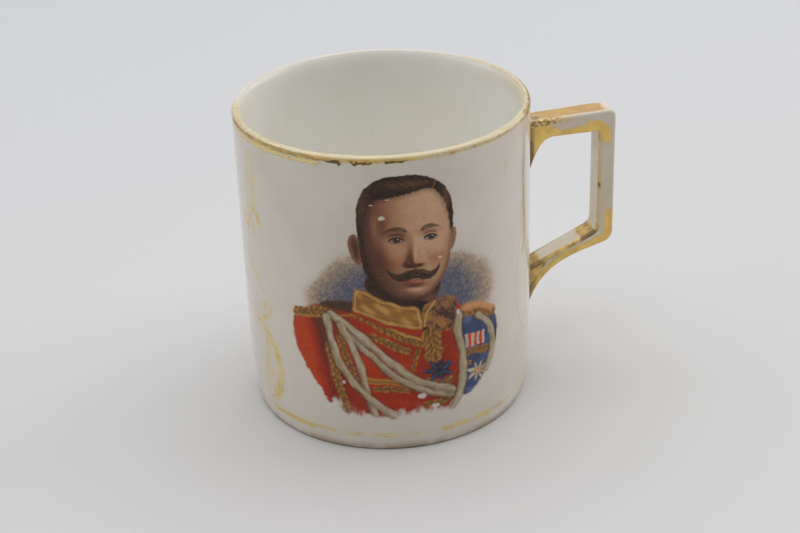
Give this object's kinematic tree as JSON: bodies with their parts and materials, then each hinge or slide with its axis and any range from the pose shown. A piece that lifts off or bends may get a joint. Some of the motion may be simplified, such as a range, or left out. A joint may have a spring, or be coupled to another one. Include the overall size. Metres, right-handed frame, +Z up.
{
  "type": "porcelain mug",
  "caption": "Small straight-sided porcelain mug with an angular bar handle, gilt rim, foot and handle lines, gilt side scrolls and a printed bust on the front.",
  "frame": {"origin": "on the table plane, under the middle of the whole outline box; the cup's own axis stands 10.4 mm to the -X side of it", "axes": "+Z up, +X from the cup towards the handle, -Y the front with the print"},
  "size_m": [0.085, 0.0644, 0.0697],
  "materials": {
    "porcelain": "clear glossy glaze on white porcelain, faintly specked",
    "fired_slip": "glazed slip, slightly creamier than the body",
    "gilding": "burnished gilding, rubbed thin and worn away in places",
    "printed_transfer": "colour transfer print fired on the glaze, stippled and a little worn"
  },
  "bodies": {
    "root": {"cup_body": "porcelain", "handle": "porcelain", "upper_slip_joint": "fired_slip", "lower_slip_joint": "fired_slip", "rim_gilding": "gilding", "foot_gilding": "gilding", "portrait_transfer": "printed_transfer", "left_scroll_gilding": "gilding", "right_scroll_gilding": "gilding", "front_outer_handle_line": "gilding", "front_inner_handle_line": "gilding", "back_outer_handle_line": "gilding", "back_inner_handle_line": "gilding", "top_handle_panel": "gilding"}
  },
  "joints": []
}
